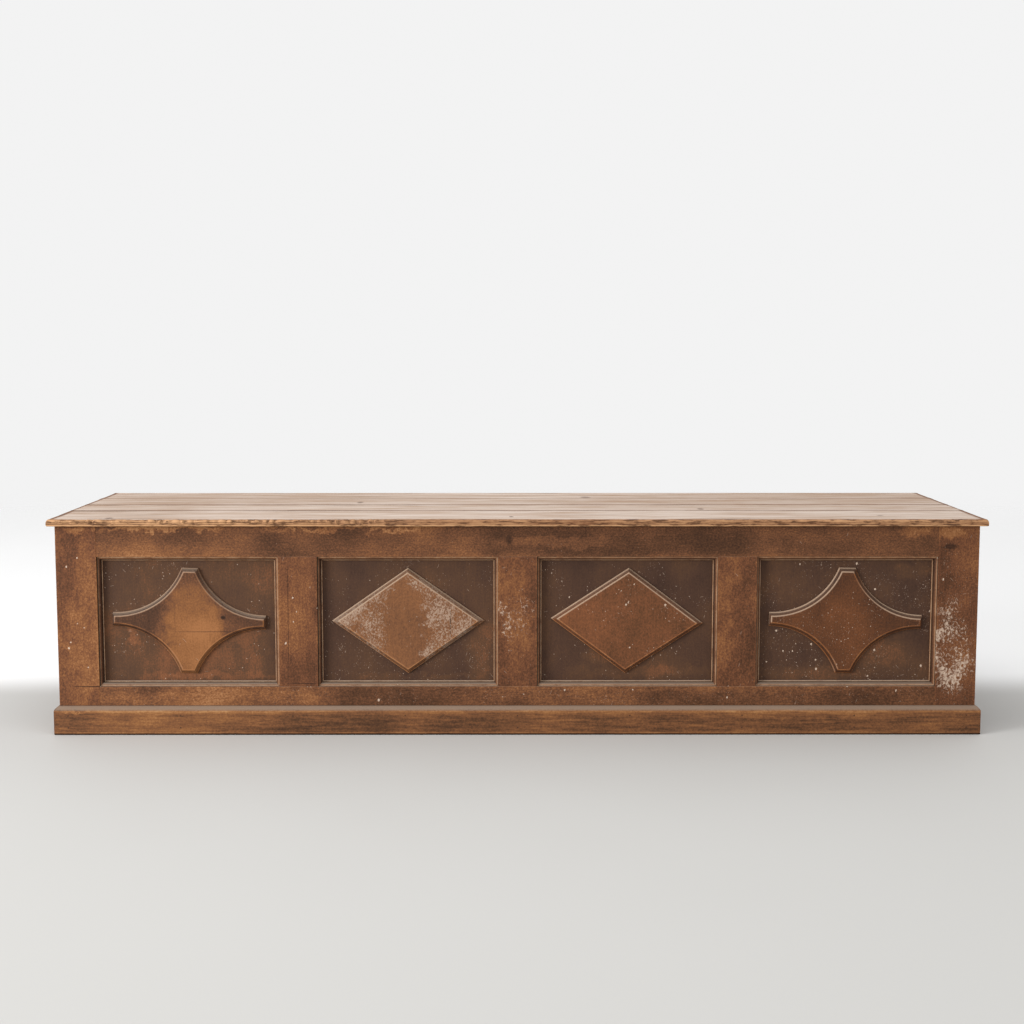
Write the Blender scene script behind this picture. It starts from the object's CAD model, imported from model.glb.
"""The looks of a long panelled communion table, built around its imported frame. Lengths are metres."""

import logging
import math
from dataclasses import dataclass, field
from enum import Enum
from functools import partial

import bmesh
import bpy
import numpy as np
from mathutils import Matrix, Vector


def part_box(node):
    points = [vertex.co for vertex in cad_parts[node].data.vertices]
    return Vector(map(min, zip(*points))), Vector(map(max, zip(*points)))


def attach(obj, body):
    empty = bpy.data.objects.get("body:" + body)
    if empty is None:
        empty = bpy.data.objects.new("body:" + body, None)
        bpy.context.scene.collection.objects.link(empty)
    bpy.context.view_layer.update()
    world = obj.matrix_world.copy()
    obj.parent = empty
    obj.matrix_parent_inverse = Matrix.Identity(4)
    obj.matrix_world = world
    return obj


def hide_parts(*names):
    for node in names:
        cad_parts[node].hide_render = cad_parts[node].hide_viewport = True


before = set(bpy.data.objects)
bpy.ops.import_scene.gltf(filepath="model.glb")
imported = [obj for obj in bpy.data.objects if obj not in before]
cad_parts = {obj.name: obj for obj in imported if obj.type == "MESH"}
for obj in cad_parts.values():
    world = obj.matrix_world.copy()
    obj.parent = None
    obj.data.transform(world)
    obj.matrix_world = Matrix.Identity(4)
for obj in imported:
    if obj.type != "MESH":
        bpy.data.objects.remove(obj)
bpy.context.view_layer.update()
log = logging.getLogger("communion_table")

MM = 0.001
BODY = "root"
WOOD_IOR = 1.5
MIDDLE_HEIGHT = 0.367  # halfway up the panels
Tree, Socket, Material = bpy.types.NodeTree, bpy.types.NodeSocket, bpy.types.Material
Colour = tuple[float, float, float, float]

# The kinds of node and the settings that come back most.
MATH = "ShaderNodeMath"
VECTOR_MATH = "ShaderNodeVectorMath"
MAP_RANGE = "ShaderNodeMapRange"
MIX = "ShaderNodeMix"
NOISE = "ShaderNodeTexNoise"
ADD = {"operation": "ADD"}
MULTIPLY = {"operation": "MULTIPLY"}
MULTIPLY_ADD = {"operation": "MULTIPLY_ADD"}
RGBA = {"data_type": "RGBA"}
SMOOTH = {"interpolation_type": "SMOOTHSTEP"}


# ---- Colours and nodes -----------------------------------------------------------------------------
def linear(code: str) -> Colour:
    """Turn an sRGB hex code into linear colour.

    Args:
        code: Six hex digits after a hash.

    Returns:
        Red, green, blue and an alpha of one.
    """
    shares = [int(code[k:k + 2], 16) / 255 for k in (1, 3, 5)]
    return (*[s / 12.92 if s <= 0.04045 else ((s + 0.055) / 1.055) ** 2.4 for s in shares], 1.0)


def add(tree: Tree, kind: str, settings: dict | None = None,
        inputs: dict | None = None, output: int | str = 0) -> Socket:
    """Add a node with its settings and links.

    Args:
        tree: The tree that gets the node.
        kind: The node's type name.
        settings: Properties of the node by name.
        inputs: A socket or a plain value for each input, by name or number.
        output: Which output is wanted.

    Returns:
        That output.
    """
    node = tree.nodes.new(kind)
    for name, value in (settings or {}).items():
        setattr(node, name, value)
    for name, value in (inputs or {}).items():
        if isinstance(value, Socket):
            tree.links.new(value, node.inputs[name])
        else:
            node.inputs[name].default_value = value
    return node.outputs[output] if len(node.outputs) else None


def blank(name: str) -> tuple[Material, Tree]:
    """Start a material with an empty tree.

    Args:
        name: The material's name.

    Returns:
        The material and its tree.
    """
    made = bpy.data.materials.new(name)
    made.use_nodes = True
    made.node_tree.nodes.clear()
    return made, made.node_tree


def read_marks(tree: Tree) -> tuple[Socket, Socket, Socket, Socket, Socket]:
    """Read where a point lies and how the mesh is marked there.

    Args:
        tree: The material's tree.

    Returns:
        Object coordinates, the same moved for each timber, and the marks for wear, dirt and scrubbing.
    """
    spot = add(tree, "ShaderNodeTexCoord", output="Object")
    shift, wear, dirt, scrub = (add(tree, "ShaderNodeAttribute", {"attribute_name": name}, output="Fac")
                                for name in ("shift", "wear", "dirt", "scrub"))
    offset = add(tree, VECTOR_MATH, {"operation": "SCALE"}, {0: (3.1, 4.7, 5.9), "Scale": shift})
    timber = add(tree, VECTOR_MATH, ADD, {0: spot, 1: offset})
    return spot, timber, wear, dirt, scrub


def coat(tree: Tree, relief: Socket, strength: float, depth: float,
         shader: dict[str, Socket | float]) -> None:
    """End a tree with its bump, its shader and its output.

    Args:
        tree: The material's tree.
        relief: The height of the surface.
        strength: How strongly it shows.
        depth: How deep it is.
        shader: The shader's inputs by name.
    """
    bump = add(tree, "ShaderNodeBump", {},
               {"Height": relief, "Strength": strength, "Distance": depth}, output="Normal")
    surface = add(tree, "ShaderNodeBsdfPrincipled", {}, {**shader, "Normal": bump})
    add(tree, "ShaderNodeOutputMaterial", {}, {"Surface": surface})


class Axis(Enum):
    """The way a timber's length and grain run."""

    X = 0
    Y = 1
    Z = 2

    def stretch(self, times: float) -> tuple[float, float, float]:
        """Scale that draws a pattern out along the axis, times longer than it is wide."""
        return tuple(1 / times if k == self.value else 1.0 for k in range(3))


@dataclass(frozen=True)
class Patch:
    """A place where a finish is rubbed, flaked or darkened more than round it.

    Attributes:
        at: Its middle, in the row frame.
        reach: Half its size along each axis.
        push: How far it pushes the finish, up to paler or down to darker.
    """

    at: tuple[float, float, float]
    reach: tuple[float, float, float]
    push: float

    def add_to(self, tree: Tree, spot: Socket, value: Socket) -> Socket:
        """Add the patch to a value.

        Args:
            tree: The material's tree.
            spot: Object coordinates.
            value: What the patch is added to.

        Returns:
            The sum.
        """
        away = add(tree, VECTOR_MATH, {"operation": "SUBTRACT"}, {0: spot, 1: self.at})
        shares = add(tree, VECTOR_MATH, {"operation": "DIVIDE"}, {0: away, 1: self.reach})
        length = add(tree, VECTOR_MATH, {"operation": "LENGTH"}, {0: shares}, "Value")
        near = add(tree, MAP_RANGE, SMOOTH,
                   {"Value": length, "From Min": 1.25, "From Max": 0.45, "To Min": 0.0, "To Max": self.push})
        return add(tree, MATH, ADD, {0: value, 1: near})


def on_face(across: Axis, at: float, deep: float, *rows: tuple[float, ...]) -> tuple[Patch, ...]:
    """Patches on one face of the table.

    Args:
        across: The way the face looks.
        at: Where the face lies along it.
        deep: How far the patches reach through the face.
        rows: For each patch its two places on the face, half its two sizes, and its push.

    Returns:
        The patches.
    """
    def placed(pair: tuple[float, ...], third: float) -> tuple[float, ...]:
        """Put the third number among the pair."""
        return (*pair[:across.value], third, *pair[across.value:])

    return tuple(Patch(placed(row[:2], at), placed(row[2:4], deep), row[4]) for row in rows)


# ---- Finishes --------------------------------------------------------------------------------------
@dataclass(frozen=True)
class StainedWood:
    """Softwood with a brown spirit stain and thin varnish, rubbed through on its arrises.

    The stain lies dark in the open grain and orange where hands and brooms have worn it. Specks of
    old limewash and grey dust sit on it.

    Attributes:
        name: The material's name.
        grain: The way the grain runs.
        tones: Colours from the dirtiest stain to bare rubbed wood.
        rub: How worn the whole surface is, added before the tones are looked up.
        streak: Width of the grain's streaks; wider than real growth rings, so that they show.
        mottle: Size of the small flakes of varnish.
        area: Size of the large worn and dirty areas.
        weights: Shares of area, mottle, streak and arris wear in the tone.
        flake: Colour of the limewash left in the surface.
        flaking: How much of it there is, below 0.5 for hardly any.
        crumb: Size of its crumbs.
        specks: Share of the small cells that hold a pale speck.
        dust: How much grey dust lies on what faces up.
        rough: Roughness of the dirty varnish; worn wood is rougher.
        chalk: Colour of the pale dust held by the mouldings' edges.
        patches: Places that are more worn or dirtier, with ragged edges.
        lines: Scribed lines and open joints, with clean edges.
        flakes: Places where the limewash is left.
    """

    name: str
    grain: Axis
    tones: tuple[str, str, str, str, str]
    rub: float = 0.0
    streak: float = 5 * MM
    mottle: float = 5 * MM
    area: float = 0.16
    weights: tuple[float, float, float, float] = (0.42, 0.62, 0.12, 0.14)
    flake: str = "#b9a390"
    flaking: float = 0.28
    crumb: float = 5 * MM
    specks: float = 0.05
    dust: float = 0.75
    rough: float = 0.56
    chalk: str = "#a58d78"
    patches: tuple[Patch, ...] = ()
    lines: tuple[Patch, ...] = ()
    flakes: tuple[Patch, ...] = ()

    def material(self) -> Material:
        """Build the finish.

        Returns:
            A material of nodes only.
        """
        made, tree = blank(self.name)
        spot, timber, wear, dirt, chalk = read_marks(tree)
        drawn = add(tree, VECTOR_MATH, MULTIPLY, {0: timber, 1: self.grain.stretch(14)})
        brushed = add(tree, VECTOR_MATH, MULTIPLY, {0: timber, 1: self.grain.stretch(1.25)})
        streak = add(tree, NOISE, {}, {
            "Vector": drawn, "Scale": 1 / self.streak, "Detail": 3.0, "Roughness": 0.6,
            "Distortion": 0.35})
        mottle = add(tree, NOISE, {}, {
            "Vector": brushed, "Scale": 1 / self.mottle, "Detail": 5.0, "Roughness": 0.78})
        area = add(tree, NOISE, {}, {
            "Vector": brushed, "Scale": 1 / self.area, "Detail": 3.0, "Roughness": 0.55})
        value = self._sum(tree, (area, mottle, streak), wear)
        torn = add(tree, NOISE, {}, {
            "Vector": timber, "Scale": 1 / (45 * MM), "Detail": 5.0, "Roughness": 0.68}, "Color")
        pulled = add(tree, VECTOR_MATH, MULTIPLY_ADD, {0: torn, 1: (0.16, 0.05, 0.10), 2: spot})
        ragged = add(tree, VECTOR_MATH, {"operation": "SUBTRACT"}, {0: pulled, 1: (0.08, 0.025, 0.05)})
        for patch in self.patches:
            value = patch.add_to(tree, ragged, value)
        for line in self.lines:
            value = line.add_to(tree, spot, value)
        ramp = tree.nodes.new("ShaderNodeValToRGB")
        stops = (0.0, 0.28, 0.5, 0.72, 1.0)
        while len(ramp.color_ramp.elements) < len(stops):
            ramp.color_ramp.elements.new(0.5)
        for element, stop, tone in zip(ramp.color_ramp.elements, stops, self.tones):
            element.position = stop
            element.color = linear(tone)
        tree.links.new(value, ramp.inputs[0])
        colour, flaked = self._limewash(tree, ramp.outputs[0], ragged, timber, brushed)
        colour = self._dust_and_dirt(tree, colour, mottle, dirt, chalk)
        self._shade(tree, colour, value, streak, mottle, flaked)
        return made

    def _sum(self, tree: Tree, fields: tuple[Socket, ...], wear: Socket) -> Socket:
        """Weigh the patterns and the arris wear into one tone.

        Args:
            tree: The material's tree.
            fields: Area, mottle and streak, each from 0 to 1.
            wear: The mesh's mark for worn arrises.

        Returns:
            The tone, about 0 to 1.
        """
        value = None
        spread = 2.3  # noise stays near its middle, so it is spread before it is weighed
        for share, weight in zip(fields, self.weights):
            part = add(tree, MATH, MULTIPLY_ADD,
                       {0: share, 1: spread * weight, 2: -0.5 * spread * weight})
            value = part if value is None else add(tree, MATH, ADD, {0: value, 1: part})
        value = add(tree, MATH, ADD, {0: value, 1: 0.42 + self.rub})
        return add(tree, MATH, MULTIPLY_ADD, {0: wear, 1: self.weights[3], 2: value})

    def _limewash(self, tree: Tree, colour: Socket, spot: Socket, timber: Socket,
                  brushed: Socket) -> tuple[Socket, Socket]:
        """Lay specks and flakes of old limewash over the stain.

        Args:
            tree: The material's tree.
            colour: The stain's colour.
            spot: Object coordinates, pulled about so that patches get ragged edges.
            timber: Object coordinates, moved for each timber.
            brushed: The same, drawn out a little along the grain.

        Returns:
            The new colour, and where the limewash is.
        """
        crust = add(tree, NOISE, {}, {
            "Vector": brushed, "Scale": 1 / self.crumb, "Detail": 4.0, "Roughness": 0.74,
            "Distortion": 0.6})
        where = add(tree, NOISE, {}, {
            "Vector": timber, "Scale": 1 / 0.09, "Detail": 2.0, "Roughness": 0.6})
        value = add(tree, MATH, MULTIPLY_ADD, {0: where, 1: 0.45, 2: self.flaking - 0.325})
        for patch in self.flakes:
            value = patch.add_to(tree, spot, value)
        value = add(tree, MATH, ADD, {0: value, 1: crust})
        crusted = add(tree, MAP_RANGE, SMOOTH,
                      {"Value": value, "From Min": 0.93, "From Max": 1.08, "To Min": 0.0, "To Max": 0.92})
        both = crusted
        crowd = add(tree, MAP_RANGE, {},
                    {"Value": where, "From Min": 0.42, "From Max": 0.62, "To Min": 0.25, "To Max": 1.6})
        for cell, drawn, lean, share, reach, strength in (
                (30 * MM, 1.3, 0.3, 3.0, 0.10, 1.0), (14 * MM, 1.0, 0.0, 3.5, 0.10, 0.75),
                (6 * MM, 1.0, 0.0, 2.5, 0.15, 0.35), (12 * MM, 11.0, 0.35, 6.0, 0.05, 0.42),
                (12 * MM, 12.0, -0.75, 5.0, 0.05, 0.42), (14 * MM, 9.0, 1.35, 5.0, 0.05, 0.36)):
            likely = add(tree, MATH, MULTIPLY, {0: crowd, 1: share * self.specks})
            fleck = self._flecks(tree, timber, crust, cell, drawn, lean, likely, reach)
            fleck = add(tree, MATH, MULTIPLY, {0: fleck, 1: strength})
            both = add(tree, MATH, {"operation": "MAXIMUM"}, {0: both, 1: fleck})
        mixed = add(tree, MIX, RGBA, {0: both, 6: colour, 7: linear(self.flake)}, 2)
        return mixed, both

    @staticmethod
    def _flecks(tree: Tree, timber: Socket, crust: Socket, cell: float, drawn: float,
                lean: float, share: Socket, reach: float) -> Socket:
        """Scatter ragged specks, or scratches when they are drawn out.

        Args:
            tree: The material's tree.
            timber: Object coordinates, moved for each timber.
            crust: A fine pattern that makes their outline ragged.
            cell: Distance between them, about.
            drawn: How many times longer than wide they are.
            lean: How far their length leans from upright, in radians.
            share: Share of the cells that hold one.
            reach: Their half width against the cell.

        Returns:
            One where they are, else zero.
        """
        laid = add(tree, "ShaderNodeMapping", {"vector_type": "TEXTURE"},
                   {"Vector": timber, "Rotation": (0.0, lean, 0.0), "Scale": (1.0, 1.0, drawn)})
        cells = add(tree, "ShaderNodeTexVoronoi", {"feature": "F1"},
                    {"Vector": laid, "Scale": 1 / cell, "Randomness": 1.0})
        picked = add(tree, MATH, {"operation": "LESS_THAN"}, {0: cells.node.outputs["Color"], 1: share})
        limit = add(tree, MATH, MULTIPLY_ADD, {0: crust, 1: reach * 2.4, 2: -0.2 * reach})
        inside = add(tree, MATH, {"operation": "LESS_THAN"}, {0: cells, 1: limit})
        return add(tree, MATH, MULTIPLY, {0: picked, 1: inside})

    def _dust_and_dirt(self, tree: Tree, colour: Socket, mottle: Socket,
                       dirt: Socket, chalk: Socket) -> Socket:
        """Grey what faces up and blacken what no cloth reaches.

        Args:
            tree: The material's tree.
            colour: The colour so far.
            mottle: A fine pattern that breaks the dust up.
            dirt: The mesh's mark for corners.
            chalk: The mesh's mark for edges that hold pale dust.

        Returns:
            The new colour.
        """
        normal = add(tree, "ShaderNodeNewGeometry", output="Normal")
        up = add(tree, "ShaderNodeSeparateXYZ", {}, {0: normal}, "Z")
        broken = add(tree, MATH, MULTIPLY_ADD, {0: mottle, 1: 0.5, 2: up})
        lies = add(tree, MAP_RANGE, SMOOTH,
                   {"Value": broken, "From Min": 0.40, "From Max": 0.90, "To Min": 0.0, "To Max": self.dust})
        dusty = add(tree, MIX, RGBA, {0: lies, 6: colour, 7: linear("#7f6c5d")}, 2)
        grip = add(tree, MATH, MULTIPLY_ADD, {0: mottle, 1: 1.6, 2: 0.2})
        lined = add(tree, MATH, {"operation": "MULTIPLY", "use_clamp": True}, {0: chalk, 1: grip})
        dusty = add(tree, MIX, RGBA, {0: lined, 6: dusty, 7: linear(self.chalk)}, 2)
        deep = add(tree, MATH, MULTIPLY, {0: dirt, 1: 0.92})
        return add(tree, MIX, RGBA, {0: deep, 6: dusty, 7: linear("#170d07")}, 2)

    def _shade(self, tree: Tree, colour: Socket, value: Socket, streak: Socket,
               mottle: Socket, flaked: Socket) -> None:
        """Finish the tree with roughness, bump and the shader.

        Args:
            tree: The material's tree.
            colour: The finished colour.
            value: The tone, high where the varnish is gone.
            streak: The grain.
            mottle: The broken varnish.
            flaked: The limewash.
        """
        rough = add(tree, MAP_RANGE, {}, {"Value": value, "From Min": 0.2, "From Max": 0.9,
                     "To Min": self.rough, "To Max": min(1.0, self.rough + 0.22)})
        relief = add(tree, MATH, MULTIPLY_ADD, {0: mottle, 1: 0.8, 2: streak})
        relief = add(tree, MATH, MULTIPLY_ADD, {0: flaked, 1: 0.35, 2: relief})
        coat(tree, relief, 0.55, 0.9 * MM, {
            "Base Color": colour, "Roughness": rough, "IOR": WOOD_IOR, "Specular IOR Level": 0.16})


@dataclass(frozen=True)
class ScrubbedWood:
    """Softwood boards scrubbed for years, so that they are bare, pale and grey, with brown edges.

    Attributes:
        name: The material's name.
        pale: The scrubbed face.
        grey: Its weathered streaks.
        late: The darker late wood.
        stain: What is left of the stain along the edges.
        worn: The same where it is rubbed through.
        deep: The same in hollows, knots and shakes.
        knots: Where the knots are.
        brown: Where the scrubbing has left the face brown.
    """

    name: str = "scrubbed_softwood"
    pale: str = "#c6b5a8"
    grey: str = "#b19987"
    late: str = "#8e6b4c"
    stain: str = "#6d4429"
    worn: str = "#b88c64"
    deep: str = "#4a2f1c"
    knots: tuple[Patch, ...] = on_face(
        Axis.Z, 0.70, 0.02,
        (-1.31, -0.40, 0.014, 0.02, 0.8), (-0.02, -0.36, 0.008, 0.02, 0.7),
        (-0.55, 0.10, 0.012, 0.03, 0.6), (0.62, -0.12, 0.012, 0.03, 0.6), (1.18, -0.33, 0.012, 0.015, 0.6),
        (0.25, 0.28, 0.02, 0.04, 0.5))
    brown: tuple[Patch, ...] = on_face(
        Axis.Z, 0.70, 0.05,
        (1.0, 0.20, 0.7, 0.35, 0.30), (-0.9, 0.25, 0.7, 0.25, 0.26), (-1.25, -0.1, 0.25, 0.4, 0.16),
        (0.1, 0.05, 0.5, 0.12, 0.12))

    def material(self) -> Material:
        """Build the finish.

        Returns:
            A material of nodes only.
        """
        made, tree = blank(self.name)
        spot, board, wear, dirt, scrub = read_marks(tree)
        drawn = add(tree, VECTOR_MATH, MULTIPLY, {0: board, 1: Axis.X.stretch(30)})
        brushed = add(tree, VECTOR_MATH, MULTIPLY, {0: board, 1: Axis.X.stretch(7)})
        streak = add(tree, NOISE, {}, {
            "Vector": drawn, "Scale": 1 / (16 * MM), "Detail": 4.0, "Roughness": 0.7, "Distortion": 0.5})
        cloud = add(tree, NOISE, {}, {
            "Vector": brushed, "Scale": 1 / 0.04, "Detail": 4.0, "Roughness": 0.65})
        fine = add(tree, NOISE, {}, {
            "Vector": brushed, "Scale": 1 / (7 * MM), "Detail": 4.0, "Roughness": 0.7})
        greyed = add(tree, MAP_RANGE, {}, {"Value": cloud, "From Min": 0.42, "From Max": 0.62})
        face = add(tree, MIX, RGBA, {0: greyed, 6: linear(self.pale), 7: linear(self.grey)}, 2)
        rings = add(tree, MAP_RANGE, SMOOTH,
                    {"Value": streak, "From Min": 0.50, "From Max": 0.68, "To Max": 0.8})
        for stain in self.brown:
            rings = stain.add_to(tree, spot, rings)
        rings = add(tree, MATH, {"operation": "MULTIPLY", "use_clamp": True},
                    {0: rings, 1: add(tree, MATH, MULTIPLY_ADD, {0: fine, 1: 1.4, 2: 0.3})})
        face = add(tree, MIX, RGBA, {0: rings, 6: face, 7: linear(self.late)}, 2)
        shakes = add(tree, "ShaderNodeTexVoronoi", {"feature": "F1"}, {
            "Vector": drawn, "Scale": 1 / 0.05, "Randomness": 1.0})
        split = add(tree, MAP_RANGE, SMOOTH,
                    {"Value": shakes, "From Min": 0.12, "From Max": 0.05, "To Min": 0.0, "To Max": 0.75})
        marked = split
        for knot in self.knots:
            marked = knot.add_to(tree, spot, marked)
        marked = add(tree, MATH, {"operation": "MINIMUM"}, {0: marked, 1: 0.95})
        face = add(tree, MIX, RGBA, {0: marked, 6: face, 7: linear(self.deep)}, 2)
        rubbed = add(tree, MATH, MULTIPLY_ADD, {0: wear, 1: 0.5, 2: fine})
        rubbed = add(tree, MATH, MULTIPLY_ADD, {0: streak, 1: 0.7, 2: rubbed})
        tone = add(tree, MAP_RANGE, {}, {"Value": rubbed, "From Min": 0.82, "From Max": 1.34})
        edge = add(tree, MIX, RGBA, {0: tone, 6: linear(self.stain), 7: linear(self.worn)}, 2)
        hollow = add(tree, MAP_RANGE, SMOOTH,
                     {"Value": fine, "From Min": 0.50, "From Max": 0.38, "To Max": 0.8})
        edge = add(tree, MIX, RGBA, {0: hollow, 6: edge, 7: linear(self.deep)}, 2)
        ragged = add(tree, MATH, MULTIPLY_ADD, {0: fine, 1: 0.9, 2: scrub})
        bare = add(tree, MAP_RANGE, SMOOTH, {"Value": ragged, "From Min": 0.75, "From Max": 1.15})
        colour = add(tree, MIX, RGBA, {0: bare, 6: edge, 7: face}, 2)
        deep = add(tree, MATH, MULTIPLY, {0: dirt, 1: 0.8})
        colour = add(tree, MIX, RGBA, {0: deep, 6: colour, 7: linear(self.deep)}, 2)
        relief = add(tree, MATH, MULTIPLY_ADD, {0: fine, 1: 0.6, 2: streak})
        coat(tree, relief, 0.5, 0.8 * MM, {
            "Base Color": colour, "Roughness": 0.74, "IOR": WOOD_IOR, "Specular IOR Level": 0.25})
        return made


@dataclass(frozen=True)
class OldIron:
    """Hand-forged and cut iron, rusted brown and rubbed dark on its crown.

    Attributes:
        name: The material's name.
    """

    name: str = "rusted_iron"

    def material(self) -> Material:
        """Build the finish.

        Returns:
            A material of nodes only.
        """
        made, tree = blank(self.name)
        spot = add(tree, "ShaderNodeTexCoord", output="Object")
        scale = add(tree, NOISE, {}, {
            "Vector": spot, "Scale": 1 / (2 * MM), "Detail": 4.0, "Roughness": 0.7})
        rusty = add(tree, MAP_RANGE, {}, {"Value": scale, "From Min": 0.4, "From Max": 0.62})
        colour = add(tree, MIX, RGBA, {0: rusty, 6: linear("#2b2624"), 7: linear("#6a4128")}, 2)
        rough = add(tree, MAP_RANGE, {}, {"Value": scale, "To Min": 0.45, "To Max": 0.85})
        coat(tree, scale, 0.6, 0.3 * MM, {"Base Color": colour, "Metallic": 0.7, "Roughness": rough})
        return made


# ---- Skins -----------------------------------------------------------------------------------------
@dataclass
class Skin:
    """A closed skin and its marks.

    Attributes:
        points: Its points, one row each.
        faces: Its faces, by point number.
        marks: Named numbers for the points, which the finishes read.
    """

    points: np.ndarray
    faces: list[tuple[int, ...]]
    marks: dict[str, np.ndarray]

    def outward(self) -> "Skin":
        """Turn the faces to point outwards, if they don't.

        Returns:
            The skin itself.
        """
        volume = 0.0
        for face in self.faces:
            first = self.points[face[0]]
            for b, c in zip(face[1:-1], face[2:]):
                volume += float(np.dot(first, np.cross(self.points[b], self.points[c])))
        if volume < 0:
            self.faces = [tuple(reversed(f)) for f in self.faces]
        return self


def loft(rings: np.ndarray, **marks: np.ndarray) -> Skin:
    """Join rings of points into a closed skin with a face over each end.

    Args:
        rings: Points, by ring, place in the ring and axis.
        marks: A number for each point, by ring and place.

    Returns:
        The skin, its faces outwards.
    """
    count, around = rings.shape[:2]
    start = np.arange(count - 1)[:, None] * around
    here, there = np.arange(around), (np.arange(around) + 1) % around
    quads = np.stack([start + here, start + there, start + around + there, start + around + here], -1)
    faces = [tuple(int(k) for k in quad) for quad in quads.reshape(-1, 4)]
    faces.append(tuple(range(around - 1, -1, -1)))
    faces.append(tuple(range((count - 1) * around, count * around)))
    return Skin(rings.reshape(-1, 3), faces, {k: v.ravel() for k, v in marks.items()}).outward()


def ripple(at: np.ndarray, seed: int, pitch: float) -> np.ndarray:
    """Smooth unevenness along a timber, the same each time.

    Args:
        at: Distances along it.
        seed: Picks the pattern.
        pitch: Rough distance between its waves.

    Returns:
        Numbers from 0 to 1.
    """
    rng = np.random.default_rng(seed)
    total = np.zeros_like(at, dtype=float)
    for _ in range(6):
        total += np.sin(at * 2 * math.pi / (pitch * rng.uniform(0.4, 1.9)) + rng.uniform(0, 2 * math.pi))
    return np.clip(0.5 + total / 6.5, 0.0, 1.0)


def stations(length: float, step: float, end: float) -> np.ndarray:
    """Places along a length, with one more near each end.

    Args:
        length: The whole length.
        step: Distance between the places.
        end: Distance of the extra place from its end.

    Returns:
        The places, from 0 to length.
    """
    inner = np.linspace(0.0, length, max(3, int(length / step)) + 1)[1:-1]
    inner = inner[(inner > end * 1.5) & (inner < length - end * 1.5)]
    return np.concatenate(([0.0, end], inner, [length - end, length]))


@dataclass(frozen=True)
class Squared:
    """How a squared timber's arrises and faces have aged.

    Attributes:
        arris: Radius that its arrises are worn to, about.
        dip: How far its faces have sunk.
        step: Distance between its rings.
    """

    arris: float = 1.6 * MM
    dip: float = 0.5 * MM
    step: float = 14 * MM

    def skin(self, low: Vector, high: Vector, along: Axis, seed: int) -> Skin:
        """Build one timber inside a box.

        Args:
            low: The box's lowest corner.
            high: Its highest corner.
            along: The way its length runs.
            seed: Picks its wear.

        Returns:
            The timber's skin.
        """
        main, a, b = along.value, (along.value + 1) % 3, (along.value + 2) % 3
        at = stations(high[main] - low[main], self.step, self.arris * 0.6)
        inset = np.zeros_like(at)
        inset[[0, -1]] = self.arris * 0.6
        half = np.array([(high[a] - low[a]) / 2, (high[b] - low[b]) / 2])
        arcs = []
        for k, (sa, sb) in enumerate(((1, -1), (1, 1), (-1, 1), (-1, -1))):
            r = self.arris * (0.35 + 1.15 * ripple(at, seed + k, 0.10) * ripple(at, seed + 9 + k, 0.023))
            angles = np.radians(np.array([-90, -60, -30, 0]) + 90 * k)
            centre = np.stack([sa * (half[0] - inset - r), sb * (half[1] - inset - r)], -1)
            arcs.append(centre[:, None] + r[:, None, None] * np.stack([np.cos(angles), np.sin(angles)], -1))
        loop, wear = [], []
        for k in range(4):
            loop.append(arcs[k])
            wear.append(np.ones((len(at), 4)))
            start, stop = arcs[k][:, -1], arcs[(k + 1) % 4][:, 0]
            span = np.linalg.norm(stop - start, axis=1)
            inner = np.array(((-1.0, 0.0), (0.0, -1.0), (1.0, 0.0), (0.0, 1.0))[k])
            wide = span.mean()
            near = [d for d in (3 * MM, 9 * MM) if d < 0.45 * wide]
            shares = [(d / span, m) for d, m in zip(near, (0.35, 0.06))]
            shares.append((np.full_like(span, 0.5), 0.0))
            if wide > 0.09:
                shares[-1:] = [(np.full_like(span, s), 0.0) for s in (0.3, 0.5, 0.7)]
            shares += [(1 - d / span, m)
                       for d, m in zip(reversed(near), (0.06, 0.35)[-len(near):] if near else ())]
            for n, (share, mark) in enumerate(shares):
                sunk = self.dip * (1 - mark) * ripple(at, seed + 31 * k + n, 0.21)
                point = start + (stop - start) * share[:, None] + inner * sunk[:, None]
                loop.append(point[:, None])
                wear.append(np.full((len(at), 1), mark))
        flat = np.concatenate(loop, 1)
        rings = np.empty((*flat.shape[:2], 3))
        rings[..., main] = low[main] + at[:, None]
        rings[..., a] = (low[a] + high[a]) / 2 + flat[..., 0]
        rings[..., b] = (low[b] + high[b]) / 2 + flat[..., 1]
        return loft(rings, wear=np.concatenate(wear, 1))


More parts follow.
